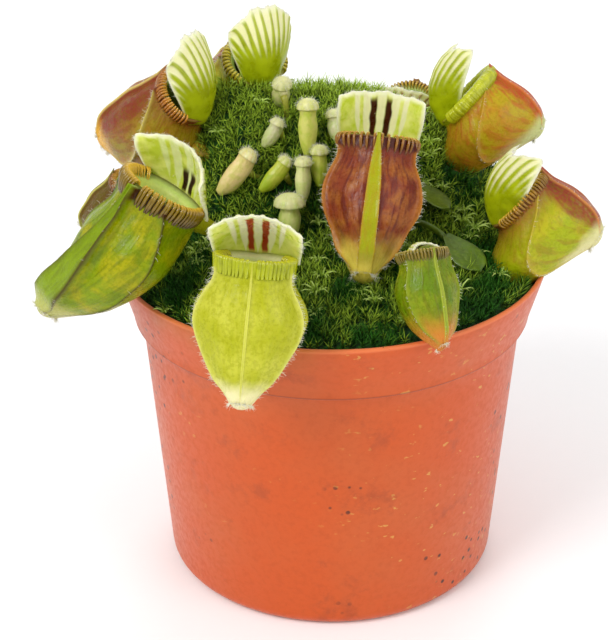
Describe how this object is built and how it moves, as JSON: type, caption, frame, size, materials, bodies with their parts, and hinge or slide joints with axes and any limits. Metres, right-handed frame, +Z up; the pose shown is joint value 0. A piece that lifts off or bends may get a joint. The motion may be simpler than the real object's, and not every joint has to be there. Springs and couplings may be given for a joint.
{
  "type": "potted pitcher plant",
  "caption": "Albany pitcher plant with green and maroon lidded jugs on a moss cushion in a terracotta-orange nursery pot.",
  "frame": {"origin": "centre of the flat underside of the pot, on the surface it rests on", "axes": "+Z up along the pot's axis, -Y towards the front of the plant, +X to the plant's right as seen from the front"},
  "size_m": [0.1012, 0.0931, 0.104],
  "materials": {
    "terracotta_plastic": "satin",
    "soil": "rough",
    "rootstock": "rough",
    "moss": "rough",
    "green_pitcher": "satin",
    "red_pitcher": "satin",
    "young_pitcher": "satin",
    "flat_leaf": "satin"
  },
  "bodies": {
    "root": {"pot": "terracotta_plastic", "soil": "soil", "rootstock": "rootstock", "moss": "moss", "pitcher_front_left": "green_pitcher", "pitcher_left": "green_pitcher", "pitcher_left_back": "red_pitcher", "pitcher_left_low": "red_pitcher", "pitcher_back": "green_pitcher", "pitcher_middle": "red_pitcher", "pitcher_front_right": "green_pitcher", "pitcher_right_back": "green_pitcher", "pitcher_right": "green_pitcher", "pitcher_back_right": "green_pitcher", "young_pitcher_1": "young_pitcher", "young_pitcher_2": "young_pitcher", "young_pitcher_3": "young_pitcher", "young_pitcher_4": "young_pitcher", "young_pitcher_5": "young_pitcher", "young_pitcher_6": "young_pitcher", "young_pitcher_7": "young_pitcher", "young_pitcher_8": "young_pitcher", "young_pitcher_9": "young_pitcher", "flat_leaf_1": "flat_leaf", "flat_leaf_2": "flat_leaf"}
  },
  "joints": []
}
